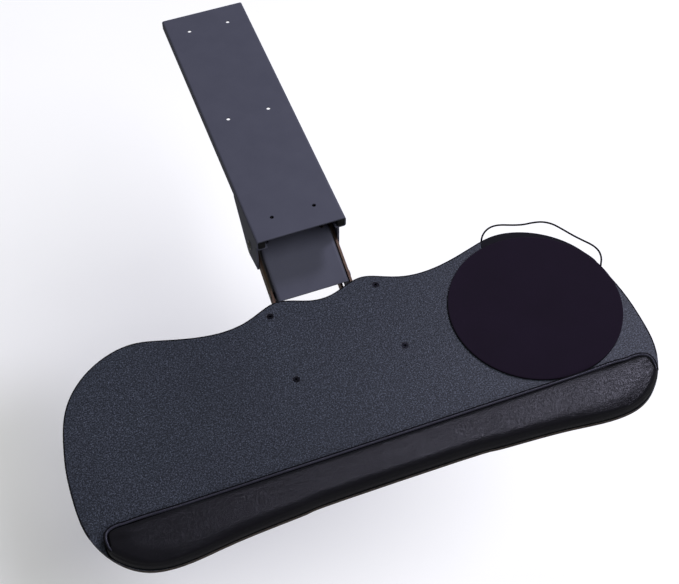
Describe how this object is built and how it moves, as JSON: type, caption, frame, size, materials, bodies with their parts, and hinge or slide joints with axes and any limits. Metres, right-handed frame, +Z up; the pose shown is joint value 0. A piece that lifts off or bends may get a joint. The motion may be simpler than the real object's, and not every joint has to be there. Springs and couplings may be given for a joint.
{
  "type": "keyboard tray",
  "caption": "Keyboard tray on a sliding, swivelling and lifting arm, with palm rest, mouse pad and cord loop.",
  "frame": {"origin": "centre of the track's screw pattern on its top face, which lies against the desk's underside", "axes": "+Z up, +Y under the desk away from the user, +X to the user's right"},
  "size_m": [0.7173, 0.78, 0.1281],
  "materials": {
    "charcoal_paint": "satin charcoal powder coat",
    "zinc_steel": "zinc-plated steel",
    "spring_steel": "oiled black spring steel",
    "black_screw": "black oxide",
    "nylon": "natural nylon",
    "black_plastic": "moulded black plastic",
    "board_laminate": "fine textured dark slate laminate",
    "bumper_rubber": "moulded rubber",
    "leatherette": "soft leatherette over gel foam",
    "pad_fabric": "knitted pad cloth",
    "base_board": "thin hardboard",
    "elastic": "woven elastic"
  },
  "bodies": {
    "track": {"track": "charcoal_paint", "front_bumpers": "bumper_rubber", "rear_bumpers": "bumper_rubber", "bumper_rivets": "zinc_steel"},
    "carriage": {"carriage_plate": "charcoal_paint", "glide_shoe_front_left": "nylon", "glide_shoe_front_right": "nylon", "glide_shoe_rear_left": "nylon", "glide_shoe_rear_right": "nylon", "swivel_hub": "zinc_steel", "swivel_washer": "nylon", "swivel_bolt": "zinc_steel", "swivel_nut": "zinc_steel"},
    "rear_bracket": {"rear_bracket": "charcoal_paint", "rear_pivot_pin": "zinc_steel", "pivot_rings": "zinc_steel", "rear_link_pin": "zinc_steel", "rear_link_collars": "zinc_steel", "lift_spring_left": "spring_steel", "lift_spring_right": "spring_steel"},
    "arm": {"arm_housing": "charcoal_paint", "side_bar_left": "zinc_steel", "side_bar_right": "zinc_steel", "rear_sleeve": "zinc_steel", "arm_spacers": "zinc_steel", "tie_rod": "zinc_steel", "clamp_sleeve": "zinc_steel"},
    "level_links": {"level_link_left": "zinc_steel", "level_link_right": "zinc_steel"},
    "front_bracket": {"front_bracket": "charcoal_paint", "front_link_pin": "zinc_steel", "front_link_collars": "zinc_steel", "friction_washers": "black_plastic"},
    "head": {"head_plate": "charcoal_paint", "clamp_bolt": "black_screw", "knob_washer": "zinc_steel", "board": "board_laminate", "board_screws": "black_screw", "board_nuts": "zinc_steel", "rest_base": "base_board", "palm_rest": "leatherette", "rest_screws": "zinc_steel", "mouse_pad": "pad_fabric", "cord_loop": "elastic", "cord_clips": "black_plastic", "clip_screws": "zinc_steel"},
    "knob": {"tilt_knob": "black_plastic"}
  },
  "joints": [
    {"name": "carriage_slide", "type": "slide", "parent": "track", "child": "carriage", "axis": [0, 1, 0], "range_m": [0, 0.296]},
    {"name": "swivel", "type": "hinge", "parent": "carriage", "child": "rear_bracket", "pos_m": [0, -0.1485, -0.02], "axis": [0, 0, 1], "range_deg": [-90, 90]},
    {"name": "arm_lift", "type": "hinge", "parent": "rear_bracket", "child": "arm", "pos_m": [0, -0.1685, -0.0577], "axis": [1, 0, 0], "range_deg": [-22, 27], "deforming": ["lift_spring_left", "lift_spring_right"]},
    {"name": "link_swing", "type": "hinge", "parent": "rear_bracket", "child": "level_links", "pos_m": [0, -0.1595, -0.0757], "axis": [1, 0, 0], "range_deg": [-22, 27]},
    {"name": "head_level", "type": "hinge", "parent": "arm", "child": "front_bracket", "pos_m": [0, -0.28502, -0.10011], "axis": [1, 0, 0], "range_deg": [-27, 22]},
    {"name": "tilt", "type": "hinge", "parent": "front_bracket", "child": "head", "pos_m": [0, -0.28502, -0.10011], "axis": [1, 0, 0], "range_deg": [-10, 15]},
    {"name": "knob_turn", "type": "hinge", "parent": "head", "child": "knob", "pos_m": [0.07, -0.28502, -0.10011], "axis": [1, 0, 0], "range_deg": [0, 360]}
  ],
  "couplings": [
    {"joint": "link_swing", "follows": "arm_lift", "ratio": 1},
    {"joint": "head_level", "follows": "arm_lift", "ratio": -1}
  ]
}
